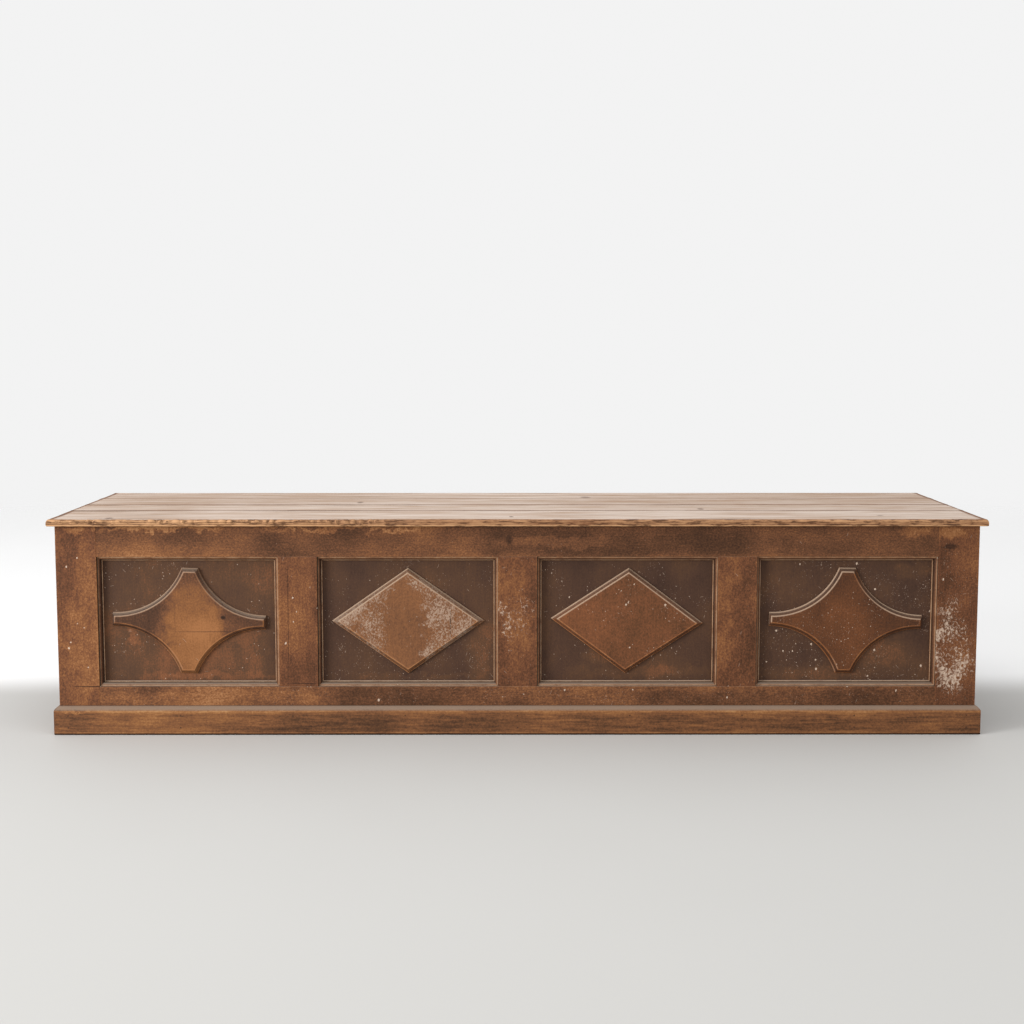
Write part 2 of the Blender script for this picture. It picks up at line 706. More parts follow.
@dataclass
class Piece:
    """One piece of the visual model.

    Attributes:
        name: Its name.
        skins: The skins it is made of; each gets its own run of grain.
        stands_for: The CAD nodes it stands for.
        slot: The record's material slot.
        crease: Angle above which an edge stays sharp, in degrees.
    """

    name: str
    skins: list[Skin]
    stands_for: tuple[str, ...]
    slot: str
    crease: float = 38.0

    def make(self, finish: Material) -> None:
        """Put the piece in the scene, riding on the table's one body.

        Args:
            finish: Its material.
        """
        rng = np.random.default_rng(sum(ord(c) * (k + 7) for k, c in enumerate(self.name)))
        points, faces, start = [], [], 0
        marks: dict[str, list[np.ndarray]] = {"wear": [], "dirt": [], "scrub": [], "shift": []}
        for skin in self.skins:
            points.append(skin.points)
            faces += [tuple(k + start for k in face) for face in skin.faces]
            start += len(skin.points)
            still = np.zeros(len(skin.points))
            for mark, rows in marks.items():
                rows.append(still + rng.uniform() if mark == "shift" else skin.marks.get(mark, still))
        mesh = bpy.data.meshes.new(self.name)
        mesh.from_pydata(np.concatenate(points).tolist(), [], faces)
        for mark, rows in marks.items():
            values = np.concatenate(rows).astype(np.float32)
            if mark == "shift" or values.any():
                mesh.attributes.new(mark, "FLOAT", "POINT").data.foreach_set("value", values)
        mesh.polygons.foreach_set("use_smooth", [True] * len(mesh.polygons))
        mesh.set_sharp_from_angle(angle=math.radians(self.crease))
        mesh.materials.append(finish)
        made = bpy.data.objects.new(self.name, mesh)
        bpy.context.scene.collection.objects.link(made)
        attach(made, BODY)
        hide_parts(*self.stands_for)
        log.info("%s: %d skins, %d faces", self.name, len(self.skins), len(mesh.polygons))


def islands(node: str) -> list[tuple[Vector, Vector]]:
    """Boxes of the separate solids of a CAD node.

    Args:
        node: The node's name.

    Returns:
        Lowest and highest corner of each, in order of place.
    """
    draft = bmesh.new()
    draft.from_mesh(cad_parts[node].data)
    bmesh.ops.remove_doubles(draft, verts=draft.verts, dist=1e-6)
    seen: set[int] = set()
    boxes = []
    draft.verts.ensure_lookup_table()
    for vert in draft.verts:
        if vert.index in seen:
            continue
        stack, group = [vert], []
        seen.add(vert.index)
        while stack:
            here = stack.pop()
            group.append(here.co.copy())
            for edge in here.link_edges:
                other = edge.other_vert(here)
                if other.index not in seen:
                    seen.add(other.index)
                    stack.append(other)
        boxes.append((Vector(map(min, zip(*group))), Vector(map(max, zip(*group)))))
    draft.free()
    return sorted(boxes, key=lambda box: tuple(round(v, 4) for v in (*box[0], *box[1])))


# ---- Top -------------------------------------------------------------------------------------------
@dataclass
class Top:
    """Four tongued boards with a rounded nose along the front and both ends.

    Attributes:
        nose: Radius of the nose's upper side.
        under: Radius of its lower side.
        seam: Radius of the arrises along the seams.
        step_down: How far a board's rear edge is worn below the next board.
        step: Distance between rings along a board.
        finish: Their finish.
    """

    nose: float = 8 * MM
    under: float = 3 * MM
    seam: float = 1.2 * MM
    step_down: float = 1.9 * MM
    step: float = 7 * MM
    finish: ScrubbedWood = field(default_factory=ScrubbedWood)

    def make(self) -> None:
        """Build and dress the boards."""
        finish = self.finish.material()
        front = min(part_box(f"top_board_{k}")[0].y for k in range(1, 5))
        back = max(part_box(f"top_board_{k}")[1].y for k in range(1, 5))
        edges = [front] + [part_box(f"top_board_{k}")[0].y for k in range(2, 5)] + [back]
        for k in range(1, 5):
            low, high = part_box(f"top_board_{k}")
            low.y, high.y = edges[k - 1], edges[k]
            skin = self._board(low, high, k)
            Piece(f"top_board_{k}_scrubbed", [skin], (f"top_board_{k}",), "scrubbed_top").make(finish)

    def _along(self, length: float) -> np.ndarray:
        """Places along a board, close together over its rounded ends.

        Args:
            length: The board's length.

        Returns:
            The places, from 0 to length.
        """
        turn = np.radians([90, 72, 54, 36, 18])
        end = self.nose * (1 - np.sin(turn))
        inner = np.linspace(self.nose, length - self.nose, int(length / self.step))
        return np.concatenate((end, inner, length - end[::-1]))

    def _board(self, low: Vector, high: Vector, number: int) -> Skin:
        """Build one board.

        Args:
            low: Its lowest corner.
            high: Its highest corner.
            number: 1 at the front to 4 at the back.

        Returns:
            Its skin.
        """
        length = high.x - low.x
        at = self._along(length)
        x = low.x + at
        inside = np.clip(np.minimum(at, length - at), 0, self.nose)
        drop = self.nose - np.sqrt(np.maximum(0, self.nose ** 2 - (self.nose - inside) ** 2))
        lift_in = np.clip(np.minimum(at, length - at), 0, self.under)
        lift = self.under - np.sqrt(np.maximum(0, self.under ** 2 - (self.under - lift_in) ** 2))
        front = self._edge(x, low, high, -1, number == 1, 10 * number)
        back = self._edge(x, low, high, 1, number == 4, 10 * number + 5)
        rows, wear, dirt, scrub = [], [], [], []

        def put(points: list[np.ndarray], w: float | np.ndarray, d: float | np.ndarray,
                s: float | np.ndarray) -> None:
            """Add one line of points along the board, with its marks."""
            rows.append(np.stack(points, -1))
            wear.append(np.zeros(len(x)) + w)
            dirt.append(np.zeros(len(x)) + d)
            scrub.append(np.zeros(len(x)) + s)

        for y, z, w, d, s in front:
            put([x, y, z], w, d, s)
        width = high.y - low.y
        for n, share in enumerate(np.linspace(0.08, 0.92, 9)):
            sunk = 0.7 * MM * ripple(x, number * 40 + n, 0.33) + 0.5 * MM * math.sin(math.pi * share)
            put([x, np.full_like(x, low.y + width * share), high.z - sunk], 0.0, 0.0, 1.0)
        for y, z, w, d, s in reversed(back):
            put([x, y, z], w, d, s)
        for share in (0.75, 0.5, 0.25):
            put([x, np.full_like(x, low.y + width * share), np.full_like(x, low.z)], 0.0, 0.3, 0.0)
        rings = np.stack(rows, 1)
        share = (rings[..., 2] - low.z) / (high.z - low.z)
        rings[..., 2] += lift[:, None] * (1 - share) - drop[:, None] * share
        marks = {"wear": np.stack(wear, 1), "dirt": np.stack(dirt, 1), "scrub": np.stack(scrub, 1)}
        brown = 17 * MM + 14 * MM * ripple(x * 0 + low.y + number, number, 0.2)
        marks["scrub"] *= np.clip((np.minimum(at, length - at) - self.nose * 0.6) / brown, 0, 1)[:, None]
        marks["wear"] = np.maximum(marks["wear"], np.clip(1 - inside / self.nose, 0, 1)[:, None])
        return loft(rings, **marks)

    def _edge(self, x: np.ndarray, low: Vector, high: Vector, side: int, nosed: bool,
              seed: int) -> list[tuple[np.ndarray, np.ndarray, float, float, float]]:
        """Lines of one long edge, from the underside up to the face.

        Args:
            x: Places along the board.
            low: The board's lowest corner.
            high: Its highest corner.
            side: -1 for the front edge, 1 for the back edge.
            nosed: Whether it is an outer edge with a nose, or a seam.
            seed: Picks its wear.

        Returns:
            For each line its y, its z, and its marks for wear, dirt and scrubbing.
        """
        y0 = low.y if side < 0 else high.y
        one = np.ones_like(x)
        if not nosed:
            r = self.seam * (0.5 + ripple(x, seed, 0.12))
            gap = 0.25 * MM
            if side > 0:
                sunk = self.step_down * (0.3 + 0.7 * ripple(x, seed + 2, 0.5)) * (0.75 - 0.2 * x)
                sunk *= 0.1 if seed > 30 else 1.0
                return [(one * (y0 - gap), one * low.z, 0.0, 1.0, 0.0),
                        (one * (y0 - gap), high.z - sunk - r, 0.0, 1.0, 0.0),
                        (y0 - gap - 0.5 * r, high.z - sunk - 0.3 * r, 0.0, 0.9, 0.5),
                        (one * (y0 - 5 * MM), high.z - sunk, 0.0, 0.3, 1.0),
                        (one * (y0 - 14 * MM), high.z - 0.7 * sunk, 0.0, 0.1, 1.0)]
            return [(one * (y0 - side * gap), one * low.z, 0.0, 1.0, 0.0),
                    (y0 - side * gap * one, high.z - r * 1.3, 0.0, 1.0, 0.0),
                    (y0 - side * (gap + 0.35 * r), high.z - 0.45 * r, 0.0, 0.9, 0.5),
                    (y0 - side * (gap + r), high.z - 0.05 * r, 0.1, 0.5, 0.8),
                    (y0 - side * (gap + 5 * MM) * one, one * high.z - 0.1 * MM, 0.0, 0.0, 1.0)]
        chip = self._chips(x, seed) if side < 0 else one * 0
        r = self.nose * (0.8 + 0.35 * ripple(x, seed, 0.16)) * (1 + 0.3 * chip)
        r = np.minimum(r, self.nose * 1.5)
        under = self.under * (0.7 + 0.6 * ripple(x, seed + 1, 0.09))
        grooved = self._grooves(x) if side < 0 else one * 0
        bared = 0.20 * np.clip((-0.45 - x) / 0.5, 0, 1) if side < 0 else 0.0
        hand = 0.35 + 0.65 * np.clip((-0.45 - x) / 0.5, 0, 1) + 0.25 * np.clip((x - 0.3) / 0.5, 0, 1)
        lines = [(y0 - side * (under + 6 * MM), one * low.z, 0.0, 0.3, 0.0),
                 (y0 - side * under, one * low.z, 0.5, 0.1, 0.0),
                 (y0 - side * under * 0.3, low.z + under * 0.3, 0.9, 0.0, 0.0),
                 (one * y0, low.z + under, 1.0, 0.0, 0.0)]
        top = high.z - r
        for share, cut, w, d in ((0.22, 0.0, 0.7, 0.0), (0.36, 1.0, 0.2, 0.8), (0.5, 0.0, 0.8, 0.0),
                                 (0.74, 0.0, 0.7, 0.0), (0.86, 0.8, 0.2, 0.7), (1.0, 0.0, 0.8, 0.0)):
            z = low.z + under + (top - low.z - under) * share
            deep = 1.8 * MM * cut * grooved + 5.5 * MM * chip * share
            dark = np.clip(d * grooved + 0.55 * chip * (share > 0.6), 0, 1) if side < 0 else 0.0
            lines.append((y0 - side * deep, z, w * hand, dark, bared))
        for turn in (22, 45, 68, 90):
            a = math.radians(turn)
            deep = r * (1 - math.cos(a)) + 5.5 * MM * chip * math.cos(a) + 2.0 * MM * chip
            lines.append((y0 - side * deep, top + r * math.sin(a) - 3.2 * MM * chip * math.sin(a) ** 2,
                          (1.0 - turn / 150) * hand, 0.3 * chip,
                          (0.08 + turn / 300) * (1 - 0.75 * chip)))
        lines.append((y0 - side * (r + 9 * MM), one * high.z - 0.2 * MM, 0.1, 0.0, 0.8))
        return lines

    @staticmethod
    def _chips(x: np.ndarray, seed: int) -> np.ndarray:
        """How far the front nose is chipped, from 0 to 1: much on the left half, little on the right."""
        fine = ripple(x, seed + 3, 0.05) * 0.55 + ripple(x, seed + 4, 0.017) * 0.45
        worn = np.clip((fine - 0.42) / 0.25, 0, 1)
        left = np.clip((-0.33 - x) / 0.12, 0, 1) * np.clip((x + 1.47) / 0.02, 0, 1)
        right = 0.25 + 0.75 * np.clip(1 - np.abs(x - 1.38) / 0.09, 0, 1)
        big = np.exp(-((x + 1.215) / 0.03) ** 2) + 0.8 * np.exp(-((x + 0.36) / 0.025) ** 2)
        return np.clip(worn * (0.12 + 0.88 * left * 0.9 + 0.2 * right * (x > 0)) + big, 0, 1)

    @staticmethod
    def _grooves(x: np.ndarray) -> np.ndarray:
        """How deep the two scored lines along the front nose are, deepest on the left."""
        return 0.25 + 0.75 * np.clip((-0.2 - x) / 0.5, 0, 1) * ripple(x, 77, 0.4)


# ---- Framing ---------------------------------------------------------------------------------------
UPRIGHT_TONES = ("#2e1a0f", "#4a2e1c", "#653e28", "#805331", "#9e704a")
RAIL_TONES = ("#2e1b11", "#492e1c", "#633f29", "#805332", "#a0734d")


@dataclass
class Framing:
    """The stiles, rails and muntins of the front, and the stiles and rails of both ends."""

    aged: Squared = field(default_factory=lambda: Squared(1.1 * MM, 0.6 * MM, 11 * MM))

    def make(self) -> None:
        """Build and dress the frames."""
        uprights = StainedWood(
            "stained_softwood_uprights", Axis.Z, UPRIGHT_TONES, rub=0.02, flaking=0.27, specks=0.09,
            crumb=8 * MM,
            patches=on_face(
                Axis.Y, -0.43, 0.05,
                (-1.38, 0.33, 0.08, 0.24, 0.24), (-1.43, 0.62, 0.03, 0.06, -0.14),
                (-1.41, 0.662, 0.05, 0.014, 0.34), (1.38, 0.655, 0.06, 0.02, 0.30),
                (0.655, 0.33, 0.05, 0.14, 0.14), (-0.69, 0.40, 0.05, 0.24, 0.14),
                (0.0, 0.33, 0.06, 0.18, 0.12), (0.70, 0.40, 0.05, 0.20, 0.06),
                (1.42, 0.50, 0.05, 0.14, 0.10)),
            lines=on_face(
                Axis.Y, -0.43, 0.05,
                (-1.365, 0.156, 0.075, 0.0016, -0.7), (-0.69, 0.166, 0.055, 0.0014, -0.4),
                (-0.737, 0.37, 0.0012, 0.2, -0.35), (-1.33, 0.355, 0.004, 0.016, -0.5),
                (1.387, 0.61, 0.022, 0.010, -0.30)),
            flakes=on_face(
                Axis.Y, -0.43, 0.05,
                (1.40, 0.28, 0.09, 0.19, 0.29), (-0.03, 0.36, 0.03, 0.15, 0.22),
                (0.02, 0.40, 0.03, 0.11, 0.20))).material()
        rails = StainedWood(
            "stained_softwood_rails", Axis.X, RAIL_TONES, rub=0.01, flaking=0.26, specks=0.08,
            patches=on_face(
                Axis.Y, -0.43, 0.05,
                (-1.15, 0.668, 0.22, 0.012, 0.42), (-0.55, 0.668, 0.30, 0.009, 0.34),
                (0.1, 0.625, 0.20, 0.022, 0.22), (1.27, 0.655, 0.06, 0.02, 0.25),
                (0.35, 0.62, 0.5, 0.05, -0.10), (-0.95, 0.12, 0.45, 0.04, 0.22),
                (-1.1, 0.59, 0.25, 0.05, 0.12), (0.6, 0.148, 0.8, 0.012, 0.10)),
            lines=on_face(
                Axis.Y, -0.43, 0.05,
                (-0.027, 0.632, 0.012, 0.016, -0.32))).material()
        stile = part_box("front_stile_left")
        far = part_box("front_stile_right")
        for node, box, seed in (("front_stile_left", stile, 11), ("front_stile_right", far, 12)):
            self._piece(node, self.aged.skin(*box, Axis.Z, seed), uprights)
        for name, seed in (("front_top_rail", 13), ("front_bottom_rail", 14)):
            low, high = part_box(name)
            low.x, high.x = stile[1].x, far[0].x
            low.y, high.y = stile[0].y, stile[1].y
            self._piece(name, self.aged.skin(low, high, Axis.X, seed), rails)
        sill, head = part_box("front_bottom_rail")[1].z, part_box("front_top_rail")[0].z
        for k in range(1, 4):
            low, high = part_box(f"front_muntin_{k}")
            low.z, high.z = sill, head
            self._piece(f"front_muntin_{k}", self.aged.skin(low, high, Axis.Z, 20 + k), uprights)
        lengthwise = StainedWood("stained_softwood_end_rails", Axis.Y, RAIL_TONES, rub=0.0).material()
        for side in ("left", "right"):
            front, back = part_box(f"end_{side}_front_stile"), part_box(f"end_{side}_back_stile")
            for place, box, seed in (("front", front, 31), ("back", back, 32)):
                self._piece(f"end_{side}_{place}_stile", self.aged.skin(*box, Axis.Z, seed), uprights)
            for rail in ("top_rail", "bottom_rail"):
                low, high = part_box(f"end_{side}_{rail}")
                low.x, high.x = front[0].x, front[1].x
                low.y, high.y = front[1].y, back[0].y
                self._piece(f"end_{side}_{rail}", self.aged.skin(low, high, Axis.Y, 33), lengthwise)

    @staticmethod
    def _piece(node: str, skin: Skin, finish: Material) -> None:
        """Make one member from its skin."""
        Piece(f"{node}_worn", [skin], (node,), "stained_frame").make(finish)


@dataclass
class Panels:
    """The flat boards in the front and end frames."""

    aged: Squared = field(default_factory=lambda: Squared(1.0 * MM, 0.6 * MM, 16 * MM))
    tones: tuple[str, ...] = ("#35231b", "#463024", "#543a28", "#754a30", "#a06f4c")

    def make(self) -> None:
        """Build and dress the panels."""
        finish = StainedWood(
            "stained_softwood_panels", Axis.Z, self.tones, rub=-0.09, area=0.14, specks=0.13,
            weights=(0.34, 0.34, 0.10, 0.16), flaking=0.21, rough=0.6, dust=0.5,
            patches=on_face(
                Axis.Y, -0.40, 0.03,
                (-1.08, 0.38, 0.36, 0.28, 0.20), (0.40, 0.42, 0.22, 0.14, -0.07),
                (-1.0, 0.185, 0.28, 0.018, 0.16), (-0.30, 0.185, 0.25, 0.014, 0.14),
                (0.40, 0.20, 0.25, 0.025, 0.15), (0.98, 0.19, 0.20, 0.028, 0.18),
                (-1.24, 0.31, 0.03, 0.03, 0.22), (-0.88, 0.30, 0.04, 0.06, 0.10),
                (-0.12, 0.28, 0.05, 0.10, 0.14), (0.30, 0.25, 0.10, 0.03, 0.16),
                (1.27, 0.53, 0.07, 0.03, 0.16), (1.15, 0.26, 0.12, 0.05, 0.14))).material()
        for k in range(1, 5):
            low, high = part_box(f"front_panel_{k}")
            skin = self.aged.skin(low, high, Axis.X, 50 + k)
            Piece(f"front_panel_{k}_board", [skin], (f"front_panel_{k}",), "stained_panel").make(finish)
        across = StainedWood("stained_softwood_end_panels", Axis.Y, self.tones, rub=-0.10, area=0.26,
                             weights=(0.34, 0.34, 0.10, 0.16), flaking=0.2, rough=0.6, dust=0.5).material()
        for side in ("left", "right"):
            low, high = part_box(f"end_{side}_panel")
            skin = self.aged.skin(low, high, Axis.Y, 60)
            Piece(f"end_{side}_panel_board", [skin], (f"end_{side}_panel",), "stained_panel").make(across)


# ---- Mouldings -------------------------------------------------------------------------------------
@dataclass
class Mouldings:
    """Mitred lengths round each opening: a flat, an ovolo that drops steeply, and a bead at the foot.

    Attributes:
        flat: Width of the flat.
        ovolo: Radius of the ovolo.
        bead: Width of the bead.
        bead_rise: Height of the bead.
        mitre: Gap left at each mitre.
        step: Distance between rings.
    """

    flat: float = 2.5 * MM
    ovolo: float = 8 * MM
    bead: float = 4.5 * MM
    bead_rise: float = 5 * MM
    mitre: float = 0.15 * MM
    step: float = 12 * MM

    def make(self) -> None:
        """Build and dress the mouldings of the front and of both ends."""
        finish = StainedWood(
            "stained_softwood_mouldings", Axis.X, ("#271812", "#462c1d", "#613f2a", "#7d5334", "#9d7859"),
            rub=-0.07, weights=(0.25, 0.35, 0.1, 0.85), dust=0.97).material()
        sill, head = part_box("front_bottom_rail")[1].z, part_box("front_top_rail")[0].z
        for k in range(1, 5):
            node = f"front_moulding_{k}"
            low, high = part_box(node)
            skins = self._around((low.x, sill), (high.x, head), low.y, high.y, Axis.X, 100 * k)
            Piece(f"{node}_mitred", skins, (node,), "stained_moulding", 32.0).make(finish)
        for side in ("left", "right"):
            node = f"end_{side}_moulding"
            low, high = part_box(node)
            outer, inner = (low.x, high.x) if side == "left" else (high.x, low.x)
            skins = self._around((low.y, sill), (high.y, head), outer, inner, Axis.Y, 900)
            Piece(f"{node}_mitred", skins, (node,), "stained_moulding", 32.0).make(finish)

    def _section(self, rise: float) -> tuple[np.ndarray, np.ndarray, np.ndarray]:
        """The moulding's section.

        Args:
            rise: Height of the flat above the panel.

        Returns:
            Its points as width from the frame and height from the panel, and marks for wear and dirt.
        """
        width = self.flat + self.ovolo + self.bead
        points = [(0.0, 0.0, 0.0, 1.0), (0.0, rise * 0.5, 0, 1.0), (0.0, rise - 0.4 * MM, 0.0, 1.0),
                  (0.5 * MM, rise, 0.2, 0.9), (self.flat - 0.7 * MM, rise, 1.0, 0.0),
                  (self.flat, rise - 0.1 * MM, 1.0, 0.0)]
        for turn in (75, 60, 45, 30, 15, 0):
            a = math.radians(turn)
            points.append((self.flat + self.ovolo * math.cos(a), rise - self.ovolo + self.ovolo * math.sin(a),
                           max(0.0, (turn - 45) / 60), 0.5 * (1 - turn / 75)))
        r = self.bead / 2
        centre = (width - r, self.bead_rise - r)
        points.append((self.flat + self.ovolo, centre[1] + 3.4 * MM, 0.0, 0.35))
        for turn in (180, 140, 105, 75, 45, 15, -10):
            a = math.radians(turn)
            crest = math.sin(max(a, 0.0))
            points.append((centre[0] + r * math.cos(a), centre[1] + r * math.sin(a), crest,
                           1.0 if turn == 180 else 0.0))
        points.append((width - 0.05 * MM, 0.0, 0.0, 0.9))
        table = np.array(points)
        return table[:, :2], table[:, 2], table[:, 3]

    def _around(self, low: tuple[float, float], high: tuple[float, float], outer: float, foot: float,
                along: Axis, seed: int) -> list[Skin]:
        """Four lengths round an opening.

        Args:
            low: The opening's lower corner, along the frame and up.
            high: Its upper corner.
            outer: Where the moulding's flat lies, across the frame.
            foot: Where the panel's face lies, across the frame.
            along: Whether the frame runs along x or y.
            seed: Picks the wear.

        Returns:
            The four skins.
        """
        section, wear, dirt = self._section(abs(foot - outer))
        toward = 1 if outer > foot else -1
        wide, tall = high[0] - low[0], high[1] - low[1]
        skins = []
        for k, length in enumerate((wide, tall, wide, tall)):
            share = stations(1.0, self.step / length, 1.5 * MM / length)[:, None]
            deep = section[None, :, 0]
            run = deep + self.mitre + share * (length - 2 * (deep + self.mitre))
            sway = 0.18 * MM * ripple(share[:, 0] * length, seed + k, 0.07)[:, None]
            s = deep + 0 * run
            v = np.clip(section[None, :, 1] - sway * (section[None, :, 1] > 1 * MM), 0, None) + 0 * run
            flat = {0: (low[0] + run, low[1] + s), 1: (high[0] - s, low[1] + run),
                    2: (high[0] - run, high[1] - s), 3: (low[0] + s, high[1] - run)}[k]
            across = foot + toward * v
            columns = [flat[0], across, flat[1]] if along is Axis.X else [across, flat[0], flat[1]]
            broken = 0.55 + 0.45 * ripple(share[:, 0] * length, seed + 7 + k, 0.05)[:, None]
            pale = (wear[None] > 0.9) * broken * (0.95, 0.5, 0.35, 0.8)[k]
            shaded = 0.85 * (section[None, :, 0] < self.flat + 1 * MM) * (k == 3)
            skins.append(loft(np.stack(columns, -1), wear=wear[None] * broken,
                              dirt=np.maximum(dirt[None], shaded) + 0 * run, scrub=pale))
        return skins


# ---- Bosses ----------------------------------------------------------------------------------------
BOSS_FACE = -0.4165


class Outline(Enum):
    """The two outlines of the raised bosses."""

    STAR = "star"
    LOZENGE = "lozenge"


@dataclass
class Boss:
    """A raised boss with a moulded edge: a fillet, a ledge, an ovolo and a quirk.

    Attributes:
        number: Its panel, from the left.
        node: The CAD node it stands for.
        outline: Star or lozenge.
        turn: Its turn clockwise from the front, in degrees, as it was fixed.
        finish: Its finish.
        chalked: How much pale dust its upper edges hold.
        length: Its length.
        height: Its height.
        thick: Its thickness.
        edge: Width of its moulded edge.
        fillet: Height of the fillet at the foot of that edge.
        ledge: Width of the ledge outside the ovolo.
        runout: How far the moulding runs out over a star's side tips.
        tip_wide: Width of a star's upper and lower tips.
        tip_tall: Height of a star's side tips.
        hollow: Radius of a star's hollow sides.
    """

    number: int
    node: str
    outline: Outline
    turn: float
    finish: StainedWood
    chalked: float = 1.2
    length: float = 492 * MM
    height: float = 344 * MM
    thick: float = 16.5 * MM
    edge: float = 11.5 * MM
    fillet: float = 4 * MM
    ledge: float = 1.5 * MM
    runout: float = 6 * MM
    tip_wide: float = 54 * MM
    tip_tall: float = 46 * MM
    hollow: float = 227 * MM

    def make(self) -> None:
        """Build and dress the boss."""
        low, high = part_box(f"front_panel_{self.number}")
        middle = (low.x + high.x) / 2, (low.z + high.z) / 2
        profile = self._profile()
        rings, wear, dirt, pale = [], [], [], []
        angle = math.radians(self.turn)
        for inset, rise, w, d in profile:
            flat = self._star(inset) if self.outline is Outline.STAR else self._lozenge(inset)
            x, z = flat[:, 0], flat[:, 1]
            rise_here = np.full(len(x), rise)
            if 0 < rise:
                rise_here -= 0.25 * MM * ripple(x * 1.3 + z, self.number * 9, 0.05)
            rings.append(np.stack([middle[0] + x * math.cos(angle) + z * math.sin(angle),
                                   low.y - rise_here,
                                   middle[1] - x * math.sin(angle) + z * math.cos(angle)], -1))
            wear.append(np.full(len(x), w) * (0.5 + 0.5 * ripple(x + 0.6 * z, self.number, 0.06)))
            dirt.append(np.full(len(x), d))
            facing = np.roll(x, -1) - np.roll(x, 1), np.roll(z, -1) - np.roll(z, 1)
            up = (facing[0] + 0.6 * facing[1]) / (np.hypot(*facing) + 1e-9)
            pale.append(np.clip(w * 1.4 - 0.4, 0, 1) * np.clip(up * self.chalked + 0.15, 0, 1))
        skin = loft(np.stack(rings), wear=np.stack(wear), dirt=np.stack(dirt), scrub=np.stack(pale))
        Piece(f"{self.node}_carved", [skin], (self.node,), "stained_boss", 30.0).make(self.finish.material())

    def _profile(self) -> list[tuple[float, float, float, float]]:
        """The edge's section.

        Returns:
            For each ring its inset and rise, and its marks for wear and dirt.
        """
        ovolo = self.edge - self.ledge
        rings = [(0.0, 0.0, 0.0, 1.0), (0.0, self.fillet - 0.5 * MM, 0.5, 0.2),
                 (0.4 * MM, self.fillet, 1.0, 0.0), (self.ledge, self.fillet, 1.0, 0.0)]
        for turn, w, d in ((14, 1.0, 0.0), (27, 0.8, 0.0), (40, 0.1, 0.45), (55, 0.0, 0.35),
                           (70, 0.0, 0.45), (82, 0.4, 0.4)):
            a = math.radians(turn)
            rings.append((self.edge - ovolo * math.cos(a), self.fillet + ovolo * math.sin(a), w, d))
        rings += [(self.edge, self.thick - 0.6 * MM, 1.0, 0.0), (self.edge + 0.6 * MM, self.thick, 1.0, 0.0),
                  (self.edge + 2.2 * MM, self.thick, 0.7, 0.0), (self.edge + 4 * MM, self.thick, 0.0, 0.0),
                  (self.edge + 11 * MM, self.thick, 0.0, 0.0)]
        return rings

    def _lozenge(self, inset: float) -> np.ndarray:
        """The lozenge's outline, moved inwards by inset."""
        a, b = self.length / 2, self.height / 2
        reach = a * b / math.hypot(a, b)
        corners = np.array([(0, b), (a, 0), (0, -b), (-a, 0)]) * (reach - inset) / reach
        share = np.linspace(0, 1, 36, endpoint=False)[:, None]
        return np.concatenate([corners[k] + (corners[(k + 1) % 4] - corners[k]) * share for k in range(4)])

    def _star(self, inset: float) -> np.ndarray:
        """The star's outline, moved inwards by inset: four hollow sides and four blunt tips."""
        p = np.array([self.tip_wide / 2, self.height / 2])
        q = np.array([self.length / 2, self.tip_tall / 2])
        half = np.linalg.norm(q - p) / 2
        out = np.array([p[1] - q[1], q[0] - p[0]]) / (2 * half)
        c = (p + q) / 2 + out * math.sqrt(self.hollow ** 2 - half ** 2)
        r = self.hollow + inset
        top = self.height / 2 - inset
        right = min(self.length / 2, self.length / 2 + self.runout - inset)
        start = math.atan2(top - c[1], -math.sqrt(r * r - (top - c[1]) ** 2))
        stop = math.atan2(-math.sqrt(r * r - (right - c[0]) ** 2), right - c[0])
        start = start + 2 * math.pi if start < 0 else start
        stop = stop + 2 * math.pi if stop < 0 else stop
        turn = np.linspace(start, stop, 40)
        arc = c + r * np.stack([np.cos(turn), np.sin(turn)], -1)
        tip = arc[-1] + (arc[-1] * (1, -1) - arc[-1]) * np.linspace(0, 1, 6)[1:-1, None]
        cap = arc[0] * (-1, 1) + (arc[0] - arc[0] * (-1, 1)) * np.linspace(0, 1, 6)[1:-1, None]
        quarter = [arc, tip, (arc * (1, -1))[::-1], (cap * (1, -1))[::-1],
                   arc * (-1, -1), (tip * (-1, 1))[::-1], (arc * (-1, 1))[::-1], cap]
        return np.concatenate(quarter)


